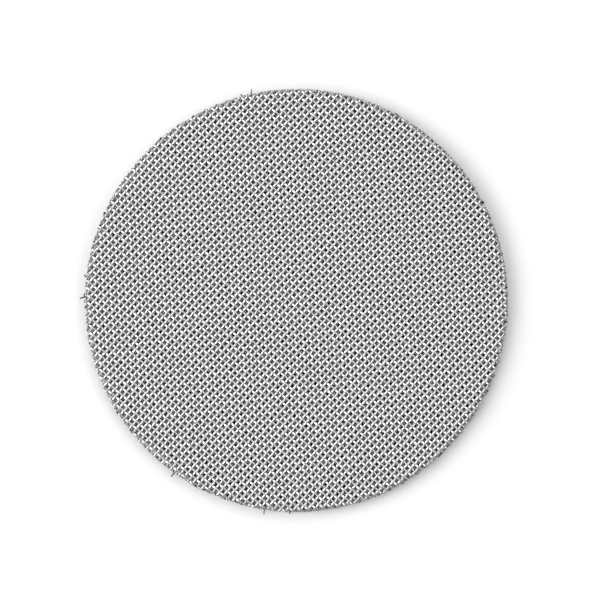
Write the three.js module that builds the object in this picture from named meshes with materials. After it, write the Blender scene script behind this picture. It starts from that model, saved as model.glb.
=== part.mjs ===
// A burner gauze: a round disc punched from three woven wire gauzes, bonded face to face.
// Two coarse gauzes carry a finer one between them. Gas comes up through the back and burns over
// the front. The disc lies flat: z = 0 is the back face, and the front face looks up.
// Every gauze is two sets of wires, the warp close to Y and the weft close to X, warp underneath.

import * as THREE from "three";

// ---- driving dimensions, mm and degrees ----

const DISC_DIAMETER = 34;
const RIM_BAND = 0.25; // the punched edge, where the shear smears the wires of a set together
const RIM_SIDES = 96;
const BOND_GAP = 0.01; // between one set of wires and the next

// Wires of a set are a pitch apart. The one nearest the centre lies off it by the shift, and the set
// is turned a little from square. A loom's beat may sway the places of the wires, furthest at a crest.
const BACK = {
  wire: 0.19,
  chamfer: 0.055,
  warp: { pitch: 0.418, shift: 0, turn: 0 },
  weft: { pitch: 0.4355, shift: 0, turn: 0 },
};
const MIDDLE = {
  wire: 0.114,
  chamfer: 0,
  warp: { pitch: 0.2497, shift: -0.09, turn: -1.65 },
  weft: { pitch: 0.2705, shift: 0.12, turn: -0.75, sway: 0.075, swayLength: 10.8, swayCrest: -4 },
};
const FRONT = {
  wire: 0.19,
  chamfer: 0.055,
  warp: { pitch: 0.4178, shift: 0.17, turn: -0.12 },
  weft: { pitch: 0.4355, shift: 0.03, turn: 0.12 },
};

// ---- worked out from them ----

const DISC_RADIUS = DISC_DIAMETER / 2;
const OPEN_RADIUS = DISC_RADIUS - RIM_BAND;
const MIDDLE_LEVEL = 2 * BACK.wire;
const FRONT_LEVEL = MIDDLE_LEVEL + 2 * MIDDLE.wire;

// ---- finish ----

const COARSE_STEEL = { color: 0xb9b8b6, roughness: 0.38, metalness: 1 };
const FINE_STEEL = { color: 0x8d8c8b, roughness: 0.5, metalness: 1 };

// ---- one set of parallel wires ----

function rimOutline() {
  const corners = [];
  for (let side = 0; side < RIM_SIDES; side += 1) {
    const angle = (2 * Math.PI * side) / RIM_SIDES;
    corners.push(new THREE.Vector2(DISC_RADIUS * Math.cos(angle), DISC_RADIUS * Math.sin(angle)));
  }
  return new THREE.Shape(corners);
}

// Half the length of a straight line across the open part of the disc, at a height y.
function halfChord(y) {
  return Math.sqrt(Math.max(OPEN_RADIUS ** 2 - y ** 2, 0));
}

// The gap between two wires that run along X, from y = low to y = high.
function gapOutline(low, high) {
  const atLow = halfChord(low);
  const atHigh = halfChord(high);
  return new THREE.Path([
    new THREE.Vector2(-atLow, low),
    new THREE.Vector2(atLow, low),
    new THREE.Vector2(atHigh, high),
    new THREE.Vector2(-atHigh, high),
  ]);
}

// Where the middle line of a wire lies, counted from the one nearest the disc's centre.
function wireLine(run, place) {
  const even = place * run.pitch + run.shift;
  if (!run.sway) {
    return even;
  }
  return even + run.sway * Math.cos((2 * Math.PI * (even - run.swayCrest)) / run.swayLength);
}

// Wires along X, side by side and joined by the rim band.
function wireSet(wire, chamfer, run) {
  const outline = rimOutline();
  const reach = Math.ceil(DISC_RADIUS / run.pitch);
  for (let place = -reach; place < reach; place += 1) {
    const low = wireLine(run, place) + wire / 2;
    const high = wireLine(run, place + 1) - wire / 2;
    const shortest = Math.min(halfChord(low), halfChord(high));
    if (shortest > run.pitch) {
      outline.holes.push(gapOutline(low, high));
    }
  }
  const height = wire - BOND_GAP;
  const bars = new THREE.ExtrudeGeometry(outline, {
    depth: height - 2 * chamfer,
    bevelEnabled: chamfer > 0,
    bevelThickness: chamfer,
    bevelSize: chamfer,
    bevelOffset: -chamfer,
    bevelSegments: 1,
  });
  bars.translate(0, 0, chamfer);
  return bars;
}

function wireMesh(name, gauze, run, finish) {
  const mesh = new THREE.Mesh(
    wireSet(gauze.wire, gauze.chamfer, run),
    new THREE.MeshStandardMaterial(finish),
  );
  mesh.name = name;
  return mesh;
}

// ---- one gauze ----

function gauzeLayer(name, gauze, finish, level) {
  const warp = wireMesh(`${name}_warp_wires`, gauze, gauze.warp, finish);
  warp.rotation.z = THREE.MathUtils.degToRad(gauze.warp.turn - 90);

  const weft = wireMesh(`${name}_weft_wires`, gauze, gauze.weft, finish);
  weft.rotation.z = THREE.MathUtils.degToRad(gauze.weft.turn);
  weft.position.z = gauze.wire;

  const layer = new THREE.Group();
  layer.add(warp, weft);
  layer.position.z = level;
  return layer;
}

// ---- the disc ----

const disc = new THREE.Group();
disc.add(
  gauzeLayer("back_gauze", BACK, COARSE_STEEL, 0),
  gauzeLayer("middle_gauze", MIDDLE, FINE_STEEL, MIDDLE_LEVEL),
  gauzeLayer("front_gauze", FRONT, COARSE_STEEL, FRONT_LEVEL),
);

export default disc;
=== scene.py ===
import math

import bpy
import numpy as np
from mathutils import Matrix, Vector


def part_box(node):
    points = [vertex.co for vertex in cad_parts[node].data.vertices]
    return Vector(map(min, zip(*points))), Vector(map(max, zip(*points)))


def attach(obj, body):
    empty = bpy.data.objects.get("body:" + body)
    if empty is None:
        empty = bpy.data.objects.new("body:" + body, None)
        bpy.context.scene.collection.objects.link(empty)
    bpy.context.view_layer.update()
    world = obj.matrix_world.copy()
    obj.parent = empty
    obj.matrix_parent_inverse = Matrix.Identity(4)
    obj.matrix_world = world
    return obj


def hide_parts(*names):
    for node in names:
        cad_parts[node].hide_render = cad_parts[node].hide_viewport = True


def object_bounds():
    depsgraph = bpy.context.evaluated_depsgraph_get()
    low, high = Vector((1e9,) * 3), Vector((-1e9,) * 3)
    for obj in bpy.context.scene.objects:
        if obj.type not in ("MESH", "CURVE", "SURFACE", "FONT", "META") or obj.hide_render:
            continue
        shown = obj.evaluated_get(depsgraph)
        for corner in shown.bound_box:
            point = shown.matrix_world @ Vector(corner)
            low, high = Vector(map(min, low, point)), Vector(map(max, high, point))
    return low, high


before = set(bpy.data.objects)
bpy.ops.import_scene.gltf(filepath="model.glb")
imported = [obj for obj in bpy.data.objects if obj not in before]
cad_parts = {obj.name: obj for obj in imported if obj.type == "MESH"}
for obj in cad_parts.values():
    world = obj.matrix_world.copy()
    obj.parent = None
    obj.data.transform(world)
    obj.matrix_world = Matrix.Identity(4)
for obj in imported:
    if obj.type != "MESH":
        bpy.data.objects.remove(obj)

# A burner gauze disc, lying on its back face. The CAD's flat bars become woven round wires, one
# piece for each set of wires, in place of its node. Lengths are millimetres until they reach Blender,
# except in the studio, which is in metres.

cad_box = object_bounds()

# ---- the gauzes ----

MM = 0.001

# "sides" and "steps" are the mesh's: corners round a wire, and rings from one crossing to the next.
# Next, how deep in the disc painted shade starts to darken the steel, and the depth where it is full.
# Then how far in from each wire's end the punched edge darkens the steel, and how dark: the punch's smear,
# with painted shade along the edge where the side light reaches in.
# "seat" is where pressing leaves the gauze in its own thickness: -1 at the bottom, 1 at the top.
# Each set has a pitch, the place of the wire nearest the centre, a turn from square in degrees, and how
# far the loom's beat sways its wires.
BACK = {
    "wire": 0.19, "sides": 6, "steps": 3, "painted_shade_depths": (0.26, 0.36), "rim_smear_and_shade": (0.50, 0.30), "seat": -1,
    "warp": {"pitch": 0.418, "shift": 0.0, "turn": 0.0, "sway": 0.0},
    "weft": {"pitch": 0.4355, "shift": 0.0, "turn": 0.0, "sway": 0.0},
}
MIDDLE = {
    "wire": 0.114, "sides": 6, "steps": 1, "painted_shade_depths": (0.42, 0.49), "rim_smear_and_shade": (0.40, 0.35), "seat": 0,
    "warp": {"pitch": 0.2497, "shift": -0.09, "turn": -1.65, "sway": 0.0},
    "weft": {"pitch": 0.2705, "shift": 0.12, "turn": -0.75, "sway": 0.075},
}
FRONT = {
    "wire": 0.19, "sides": 6, "steps": 3, "painted_shade_depths": (0.26, 0.36), "rim_smear_and_shade": (0.42, 0.50), "seat": 1,
    "warp": {"pitch": 0.4178, "shift": 0.17, "turn": -0.12, "sway": 0.0},
    "weft": {"pitch": 0.4355, "shift": 0.03, "turn": 0.12, "sway": 0.0},
}
PRESSED = 0.72          # bonding presses the wires into each other, and this share of their swing is left
SWAY_LENGTH = 10.8      # the loom's beat, and one of the crests that it leaves in the spacing
SWAY_CREST = -4.0
LOOSENESS = 0.012       # how far a wire strays from its place, as a share of the pitch
WANDER = 0.008          # and how far it drifts along its length
WANDER_LENGTHS = (4.0, 14.0)
WANDER_WAVES = 5
SPARE_WIRES = 2         # counted past the disc on each side, so that every wire's end is between crossings
END_ROOM = 0.1          # the least room between a wire's end and its next ring, as a share of the pitch

# ---- the punched edge ----

DISC_RADIUS = (cad_box[1].x - cad_box[0].x) / 2 / MM
TOP = cad_box[1].z / MM
CUT_RADIUS = DISC_RADIUS - 0.05     # at the underside, where the cut is widest
CUT_MIDDLE = (-0.03, 0.04)          # the cut's own centre, to the picture's right and up
CUT_LEAN = 0.015                    # which moves this far to the picture's left on its way up
CUT_DRAW = 0.08                     # the cut is drawn in by this much at the top
CUT_ROUGHNESS = 0.06                # and a wire's end falls short of it by up to this much
RIM_WIDTH = 0.28                    # the punch squeezes this much of the edge
RIM_SQUEEZE = 0.08                  # by this share of its thickness
RIM_SPREAD = 0.15                   # and makes the wires wider there by this share

# Ends of fine wires that the punch pulled out: root, bend and tip, each to the right of the disc's centre
# and above it in the picture.
LOOSE_ENDS = [
    [(-16.80, 0.34), (-17.08, 0.34), (-17.40, 0.19)],
    [(-17.00, 0.28), (-17.06, 0.42), (-17.03, 0.63)],
    [(-16.86, 1.92), (-16.97, 2.00), (-17.02, 2.11)],
    [(-16.80, 0.02), (-16.98, -0.02), (-17.06, -0.10)],
    [(-16.80, -0.40), (-16.98, -0.44), (-17.02, -0.52)],
    [(-3.68, 16.40), (-3.64, 16.75), (-3.60, 16.99)],
    [(-4.25, 16.38), (-4.45, 16.50), (-4.52, 16.58)],
    [(-2.60, -16.60), (-2.64, -16.90), (-2.62, -17.10)],
    [(-0.50, -16.80), (-0.55, -17.02), (-0.62, -17.06)],
    [(-9.78, -13.70), (-9.94, -13.92), (-10.05, -14.08)],
]
LOOSE_LEVEL = (0.30, 0.62)          # the heights that their roots lie between
LOOSE_RISE = 0.12                   # the most that a tip rises or drops
LOOSE_TAPER = (1.1, 0.8)            # how thick they are at root and tip, beside the wire
LOOSE_RINGS = 7

# ---- the steel ----

# The colours of its darkest and lightest streaks, and how much of them the steel keeps where painted shade
# and the punch's smear darken it fully.
COARSE_STEEL = {"dark": (0.55, 0.542, 0.546), "light": (0.75, 0.74, 0.745), "shaded_and_smeared": 0.06}
# The fine steel is the same steel painted lighter than the coarse: painted light for the middle gauze, which
# lies in the shade of the front one.
LIGHTENED_FINE_STEEL = {"dark": (0.75, 0.739, 0.745), "light": (0.95, 0.936, 0.942), "shaded_and_smeared": 0.15}
STREAKS = (1.5, 12.0, 50.0)         # how fast the streaks change along a wire, round it and between wires
STREAK_DETAIL = 3.0
STREAK_RANGE = (0.3, 0.6)           # the noise that leaves the darkest and the lightest steel
ROUGHNESS = (0.34, 0.50)
DRAWN_SPREAD = 0.7                  # drawing spreads the shine round a wire, by this share
DRAWN_TURN = 0.25                   # a quarter turn, from along the wire to round it
SCRATCH_DEPTH = 0.004
SCRATCH_STRENGTH = 0.35

# ---- the picture ----

FRAME_WIDTH = 48.0                  # what the picture spans
LENS = 200.0
SENSOR = 36.0
ROLL = math.radians(40.25)          # how far the picture is turned on the gauze
AIM = (0.26, 0.086)     # what the picture is centred on, to the right of the disc's centre and above it
RIGHT = Vector((math.cos(ROLL), math.sin(ROLL), 0))
UP = Vector((-math.sin(ROLL), math.cos(ROLL), 0))

# ---- the studio, in metres ----

CLIP = (0.01, 10.0)                 # the nearest and furthest that the camera sees
FLOOR_SIZE = 3.0
FLOOR_GAP = 0.00001                 # between the floor and the disc's back face
FLOOR_TONE = (0.8, 0.787, 0.793, 1)
FLOOR_ROUGHNESS = 0.8
FLOOR_SHINE = 0.2
AMBIENT = 0.01
SOFTBOX_DISTANCE = 0.6
SOFTBOX_SIZE = 0.36
# Bearing in degrees from the picture's right towards its top, elevation in degrees, and power in watts.
SOFTBOXES = {
    "left": (180, 31, 1.85),
    "left_low": (180, 18, 0.95),
    "left_high": (180, 55, 0.95),
    "back_left": (135, 31, 0.5),
    "back": (90, 31, 0.67),
    "back_high": (90, 55, 0.68),
    "back_right": (45, 31, 0.54),
    "right": (0, 31, 0.56),
    "right_low": (0, 18, 0.22),
    "right_high": (0, 55, 0.62),
    "front_right": (315, 31, 0.45),
    "front_left": (225, 31, 0.9),
    "above": (0, 90, 0.14),
}

rng = np.random.default_rng(60)


# ---- woven wire ----

def directions(own, run):
    """The way a set's wires run, and the way across them."""
    turn = math.radians(run["turn"])
    close_to_x = np.array([math.cos(turn), math.sin(turn)])
    close_to_y = np.array([-math.sin(turn), math.cos(turn)])
    return (close_to_y, close_to_x) if own == "warp" else (close_to_x, close_to_y)


def wire_lines(run):
    """The number of each wire in a set, and how far its middle line lies from the disc's centre."""
    reach = math.ceil(DISC_RADIUS / run["pitch"]) + SPARE_WIRES
    numbers = np.arange(-reach, reach + 1)
    even = numbers * run["pitch"] + run["shift"]
    sway = run["sway"] * np.cos(2 * np.pi * (even - SWAY_CREST) / SWAY_LENGTH)
    return numbers, even + sway + rng.normal(0, LOOSENESS, len(numbers)) * run["pitch"]


def wander_waves():
    """Long shallow waves that bend neighbouring wires of a set alike."""
    heading = rng.uniform(0, 2 * np.pi, WANDER_WAVES)
    length = rng.uniform(*WANDER_LENGTHS, WANDER_WAVES)
    start = rng.uniform(0, 2 * np.pi, WANDER_WAVES)
    return np.cos(heading) / length, np.sin(heading) / length, start


def wander(waves, x, y):
    """How far the waves move a wire sideways at each point."""
    along_x, along_y, start = waves
    phase = 2 * np.pi * (np.outer(x, along_x) + np.outer(y, along_y)) + start
    return WANDER * math.sqrt(2 / WANDER_WAVES) * np.sin(phase).sum(axis=1)


def cut_circle(level):
    """The middle and radius of the punched edge at a height."""
    rise = level / TOP
    middle = RIGHT * (CUT_MIDDLE[0] - CUT_LEAN * rise) + UP * CUT_MIDDLE[1]
    return np.array(middle[:2]), CUT_RADIUS - CUT_DRAW * rise ** 2


def rim_share(flat, middle, radius, width):
    """0 over most of the disc, rising to 1 over this width at its punched edge."""
    out = np.hypot(flat[:, 0] - middle[0], flat[:, 1] - middle[1])
    return np.clip((out - radius + width) / width, 0, 1)


def unit(vectors):
    return vectors / np.linalg.norm(vectors, axis=-1)[..., None]


def tube(path, tangent, radius, spread, sides):
    """Rings of points round a path, wider sideways by the spread, and which way each point faces."""
    side = unit(np.cross(tangent, [0.0, 0.0, 1.0]))
    up = np.cross(side, tangent)
    half_side = np.pi / sides
    angles = 2 * half_side * np.arange(sides)
    sideways = np.cos(angles)[None, :, None] * side[:, None, :]
    upwards = np.sin(angles)[None, :, None] * up[:, None, :]
    corner_radius = radius * half_side / math.sin(half_side)    # as far round as the round wire
    rings = path[:, None, :] + corner_radius * (spread[:, None, None] * sideways + upwards)
    return rings, sideways + upwards


def tube_faces(first, rings, sides):
    """Quads along a tube, and a cap over the separate ring on each end."""
    ring = np.arange(1, rings - 2)[:, None] * sides
    corner = np.arange(sides)[None, :]
    following = (corner + 1) % sides
    quads = np.stack([ring + corner, ring + sides + corner, ring + sides + following, ring + following], -1)
    start = list(range(first, first + sides))
    end = list(range(first + (rings - 1) * sides, first + rings * sides))
    return (quads.reshape(-1, 4) + first).tolist() + [start, end[::-1]]


def depth_inside(level, facing):
    """How deep in the disc a point is: from the top if it faces up, and from the underside if down."""
    below = level
    above = TOP - level
    nearer = (1 - np.abs(facing)) * np.minimum(below, above)
    return np.maximum(facing, 0) * above + np.maximum(-facing, 0) * below + nearer


class WireMesh:
    """Collects one set's tubes, and what the material needs to know of each point on them."""

    def __init__(self, sides, painted_shade_depths):
        self.sides = sides
        self.painted_shade_depths = painted_shade_depths
        self.points = []
        self.normals = []
        self.along = []         # the way the wire runs
        self.drawn = []         # the place along the wire, the share of the way round it, and its own number
        self.edge_darkening = []
        self.faces = []
        self.count = 0

    def add(self, rings, normals, tangent, place, edge_darkening):
        """One wire. Its end rings are doubled, so that each cap is flat with a sharp edge."""
        drawn = np.zeros_like(rings)
        drawn[..., 0] = place[:, None]
        drawn[..., 1] = np.arange(self.sides)[None, :] / self.sides
        drawn[..., 2] = rng.random()
        doubled = np.concatenate([[0], np.arange(len(rings)), [len(rings) - 1]])
        normals = normals[doubled]
        normals[[0, -1]] = 0    # Blender works out a cap's normals itself
        self.points.append(rings[doubled].reshape(-1, 3))
        self.normals.append(normals.reshape(-1, 3))
        self.along.append(np.repeat(tangent[doubled], self.sides, axis=0))
        self.drawn.append(drawn[doubled].reshape(-1, 3))
        self.edge_darkening.append(np.repeat(edge_darkening[doubled], self.sides))
        self.faces += tube_faces(self.count, len(doubled), self.sides)
        self.count += len(doubled) * self.sides

    def shade_and_smear_share(self, points, drawn):
        """From 0 to 1, how far the steel is darkened: the larger of the painted shade deep in the disc and
        the darkening at the punched edge, which is the punch's smear with painted shade.
        """
        depth = depth_inside(points[:, 2], np.sin(2 * np.pi * drawn[:, 1]))
        start, full = self.painted_shade_depths
        share = np.clip((depth - start) / (full - start), 0, 1)
        return np.maximum(share * share * (3 - 2 * share), np.concatenate(self.edge_darkening))

    def build(self, name):
        points = np.concatenate(self.points)
        drawn = np.concatenate(self.drawn)
        mesh = bpy.data.meshes.new(name)
        mesh.from_pydata((points * MM).tolist(), [], self.faces)
        for mark, values in (("drawn", drawn), ("along", np.concatenate(self.along))):
            vectors = mesh.attributes.new(mark, "FLOAT_VECTOR", "POINT")
            vectors.data.foreach_set("vector", values.astype(np.float32).ravel())
        # Painted shade deep in the disc, and the punched edge's darkening, which is the punch's smear with
        # painted shade.
        painted_shade_and_smear = mesh.attributes.new("painted_shade_and_smear", "FLOAT", "POINT")
        painted_shade_and_smear.data.foreach_set("value", self.shade_and_smear_share(points, drawn).astype(np.float32))
        mesh.shade_smooth()
        mesh.normals_split_custom_set_from_vertices(np.concatenate(self.normals).tolist())
        piece = bpy.data.objects.new(name, mesh)
        bpy.context.scene.collection.objects.link(piece)
        return piece


def ring_places(crossings, ends, steps, room):
    """Where a wire's rings go from end to end, counted in crossings and measured along it."""
    numbers, along = crossings
    stops = np.arange(steps) / steps
    counted = (numbers[:-1, None] + stops[None, :]).ravel()
    place = np.interp(counted, numbers, along)
    inner = (place > ends[0] + room) & (place < ends[1] - room)
    end_counts = np.interp(ends, along, numbers)
    counted = np.concatenate([end_counts[:1], counted[inner], end_counts[1:]])
    return counted, np.concatenate([ends[:1], place[inner], ends[1:]])


def woven_set(gauze, own, lines, low, high):
    """One set of a gauze's wires, each over one wire of the other set and under the next."""
    other = "weft" if own == "warp" else "warp"
    sign = 1 if own == "warp" else -1
    ahead, across = directions(own, gauze[own])
    _, other_across = directions(other, gauze[other])
    other_numbers, other_lines = lines[other]
    pitch = gauze[other]["pitch"]
    radius = gauze["wire"] / 2
    free_swing = (high - low) / 2 - radius
    swing = PRESSED * free_swing
    middle = (high + low) / 2 + gauze["seat"] * (free_swing - swing)
    cut_middle, cut_radius = cut_circle(middle)
    edge_darkening_width, edge_darkening_share = gauze["rim_smear_and_shade"]
    waves = wander_waves()
    # The wires take the depths where painted shade darkens the steel inside the disc.
    wires = WireMesh(gauze["sides"], gauze["painted_shade_depths"])
    for number, line in zip(*lines[own], strict=True):
        cuts = cut_radius - CUT_ROUGHNESS * rng.random(2)
        off = line - cut_middle @ across
        if abs(off) > cuts.min() - radius:
            continue
        ends = cut_middle @ ahead + np.array([-1, 1]) * np.sqrt(cuts ** 2 - off ** 2)
        along = (other_lines - line * (other_across @ across)) / (other_across @ ahead)
        counted, place = ring_places((other_numbers, along), ends, gauze["steps"], END_ROOM * pitch)

        phase = np.pi * (counted + number)
        height = middle + sign * swing * np.cos(phase)
        rise = -sign * swing * np.pi / pitch * np.sin(phase)
        flat = across[None, :] * line + ahead[None, :] * place[:, None]
        tangent = unit(np.column_stack([np.broadcast_to(ahead, flat.shape), rise]))
        flat += across[None, :] * wander(waves, flat[:, 0], flat[:, 1])[:, None]

        squeezed = rim_share(flat, cut_middle, cut_radius, RIM_WIDTH) ** 2
        # The punched edge's darkening over a band of this width: the punch's smear, with painted shade.
        edge_darkening = edge_darkening_share * rim_share(flat, cut_middle, cut_radius, edge_darkening_width)
        path = np.column_stack([flat, height])
        rings, normals = tube(path, tangent, radius, 1 + RIM_SPREAD * squeezed, gauze["sides"])
        rings[..., 2] *= (1 - RIM_SQUEEZE * squeezed)[:, None]
        wires.add(rings, normals, tangent, place, edge_darkening)
    return wires


def add_loose_ends(wires, radius):
    """The pulled ends, as short curved tubes that taper a little."""
    for corners in LOOSE_ENDS:
        root, bend, tip = (np.array(RIGHT[:2]) * x + np.array(UP[:2]) * y for x, y in corners)
        t = np.linspace(0, 1, LOOSE_RINGS)[:, None]
        flat = (1 - t) ** 2 * root + 2 * t * (1 - t) * bend + t ** 2 * tip
        level = rng.uniform(*LOOSE_LEVEL)
        height = level + LOOSE_RISE * rng.uniform(-1, 1) * t[:, 0]
        path = np.column_stack([flat, height])
        tangent = unit(np.gradient(path, axis=0))
        rings, normals = tube(path, tangent, radius, np.ones(len(path)), wires.sides)
        centre = path[:, None, :]
        rings = centre + (rings - centre) * np.linspace(*LOOSE_TAPER, len(path))[:, None, None]
        # The pulled ends are darkened all along, as far as the punched edge's darkening goes.
        wires.add(rings, normals, tangent, t[:, 0], np.ones(len(path)))


def add_gauze(name, gauze, material):
    """Both sets of a gauze's wires, in place of their CAD nodes."""
    nodes = {own: f"{name}_{own}_wires" for own in ("warp", "weft")}
    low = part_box(nodes["warp"])[0].z / MM
    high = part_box(nodes["weft"])[1].z / MM
    lines = {own: wire_lines(gauze[own]) for own in nodes}
    for own, node in nodes.items():
        wires = woven_set(gauze, own, lines, low, high)
        if node == "middle_gauze_weft_wires":
            add_loose_ends(wires, gauze["wire"] / 2)
        piece = wires.build(f"{name}_woven_{own}")
        piece.data.materials.append(material)
        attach(piece, "root")
        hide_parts(node)


# ---- the steel's material ----

def attribute(nodes, name):
    node = nodes.new("ShaderNodeAttribute")
    node.attribute_name = name
    return node


def map_range(nodes, low, high):
    """A node that turns 0 into the low value and 1 into the high one."""
    node = nodes.new("ShaderNodeMapRange")
    node.inputs["To Min"].default_value = low
    node.inputs["To Max"].default_value = high
    return node


def steel(name, look):
    """Drawn wire: streaks along it, a tone of its own for each wire, and painted shade that darkens the
    steel deep in the disc and along the punched edge.
    """
    material = bpy.data.materials.new(name)
    material.use_nodes = True
    nodes = material.node_tree.nodes
    links = material.node_tree.links
    shader = nodes["Principled BSDF"]
    shader.inputs["Metallic"].default_value = 1.0

    stretch = nodes.new("ShaderNodeVectorMath")
    stretch.operation = "MULTIPLY"
    stretch.inputs[1].default_value = STREAKS
    links.new(attribute(nodes, "drawn").outputs["Vector"], stretch.inputs[0])
    streaks = nodes.new("ShaderNodeTexNoise")
    streaks.inputs["Scale"].default_value = 1.0
    streaks.inputs["Detail"].default_value = STREAK_DETAIL
    links.new(stretch.outputs[0], streaks.inputs["Vector"])
    tone = nodes.new("ShaderNodeValToRGB")
    ends = tone.color_ramp.elements
    for end, place, colour in zip(ends, STREAK_RANGE, (look["dark"], look["light"]), strict=True):
        end.position = place
        end.color = (*colour, 1)
    links.new(streaks.outputs["Fac"], tone.inputs["Fac"])

    # Painted shade: the streaks' colour is darkened where the attribute says, deep in the disc and at the
    # punched edge, together with the punch's smear.
    kept = map_range(nodes, 1.0, look["shaded_and_smeared"])
    links.new(attribute(nodes, "painted_shade_and_smear").outputs["Fac"], kept.inputs["Value"])
    shaded_and_smeared = nodes.new("ShaderNodeVectorMath")
    shaded_and_smeared.operation = "SCALE"
    links.new(tone.outputs["Color"], shaded_and_smeared.inputs[0])
    links.new(kept.outputs["Result"], shaded_and_smeared.inputs["Scale"])
    links.new(shaded_and_smeared.outputs[0], shader.inputs["Base Color"])

    rough = map_range(nodes, *ROUGHNESS)
    links.new(streaks.outputs["Fac"], rough.inputs["Value"])
    links.new(rough.outputs["Result"], shader.inputs["Roughness"])

    along = nodes.new("ShaderNodeVectorTransform")
    along.vector_type = "VECTOR"
    along.convert_from = "OBJECT"
    along.convert_to = "WORLD"
    links.new(attribute(nodes, "along").outputs["Vector"], along.inputs[0])
    links.new(along.outputs[0], shader.inputs["Tangent"])
    shader.inputs["Anisotropic"].default_value = DRAWN_SPREAD
    shader.inputs["Anisotropic Rotation"].default_value = DRAWN_TURN

    scratches = nodes.new("ShaderNodeBump")
    scratches.inputs["Strength"].default_value = SCRATCH_STRENGTH
    scratches.inputs["Distance"].default_value = SCRATCH_DEPTH * MM
    links.new(streaks.outputs["Fac"], scratches.inputs["Height"])
    links.new(scratches.outputs["Normal"], shader.inputs["Normal"])
    return material


# ---- studio ----

def add_floor():
    bpy.ops.mesh.primitive_plane_add(size=FLOOR_SIZE, location=(0, 0, -FLOOR_GAP))
    floor = bpy.context.object
    floor.name = "floor"
    material = bpy.data.materials.new("pale_table")
    material.use_nodes = True
    shader = material.node_tree.nodes["Principled BSDF"]
    shader.inputs["Base Color"].default_value = FLOOR_TONE
    shader.inputs["Roughness"].default_value = FLOOR_ROUGHNESS
    shader.inputs["Specular IOR Level"].default_value = FLOOR_SHINE
    floor.data.materials.append(material)


def add_camera():
    """Straight above the disc, as far off as the lens needs to span the picture."""
    data = bpy.data.cameras.new("camera")
    data.lens = LENS
    data.sensor_width = SENSOR
    data.clip_start, data.clip_end = CLIP
    distance = FRAME_WIDTH * MM * LENS / SENSOR
    camera = bpy.data.objects.new("camera", data)
    camera.location = (RIGHT * AIM[0] + UP * AIM[1]) * MM + Vector((0, 0, distance + cad_box[1].z))
    camera.rotation_euler = (0, 0, ROLL)
    bpy.context.scene.collection.objects.link(camera)
    bpy.context.scene.camera = camera


def add_softbox(name, bearing, elevation, power):
    """An area light that looks at the disc."""
    data = bpy.data.lights.new(name, "AREA")
    data.shape = "DISK"
    data.size = SOFTBOX_SIZE
    data.energy = power
    lamp = bpy.data.objects.new(name, data)
    turn = math.radians(bearing)
    lift = math.radians(elevation)
    flat = RIGHT * math.cos(turn) + UP * math.sin(turn)
    lamp.location = (flat * math.cos(lift) + Vector((0, 0, math.sin(lift)))) * SOFTBOX_DISTANCE
    lamp.rotation_euler = (-lamp.location).to_track_quat("-Z", "Y").to_euler()
    bpy.context.scene.collection.objects.link(lamp)


def add_world():
    world = bpy.data.worlds.new("studio")
    world.use_nodes = True
    background = world.node_tree.nodes["Background"]
    background.inputs["Color"].default_value = (1, 1, 1, 1)
    background.inputs["Strength"].default_value = AMBIENT
    bpy.context.scene.world = world


add_camera()
add_floor()
for softbox, setting in SOFTBOXES.items():
    add_softbox(softbox, *setting)
add_world()
bpy.context.scene.view_settings.view_transform = "Standard"

coarse_steel = steel("coarse_steel", COARSE_STEEL)
lightened_fine_steel = steel("lightened_fine_steel", LIGHTENED_FINE_STEEL)
add_gauze("back_gauze", BACK, coarse_steel)
add_gauze("middle_gauze", MIDDLE, lightened_fine_steel)
add_gauze("front_gauze", FRONT, coarse_steel)

bpy.context.view_layer.update()
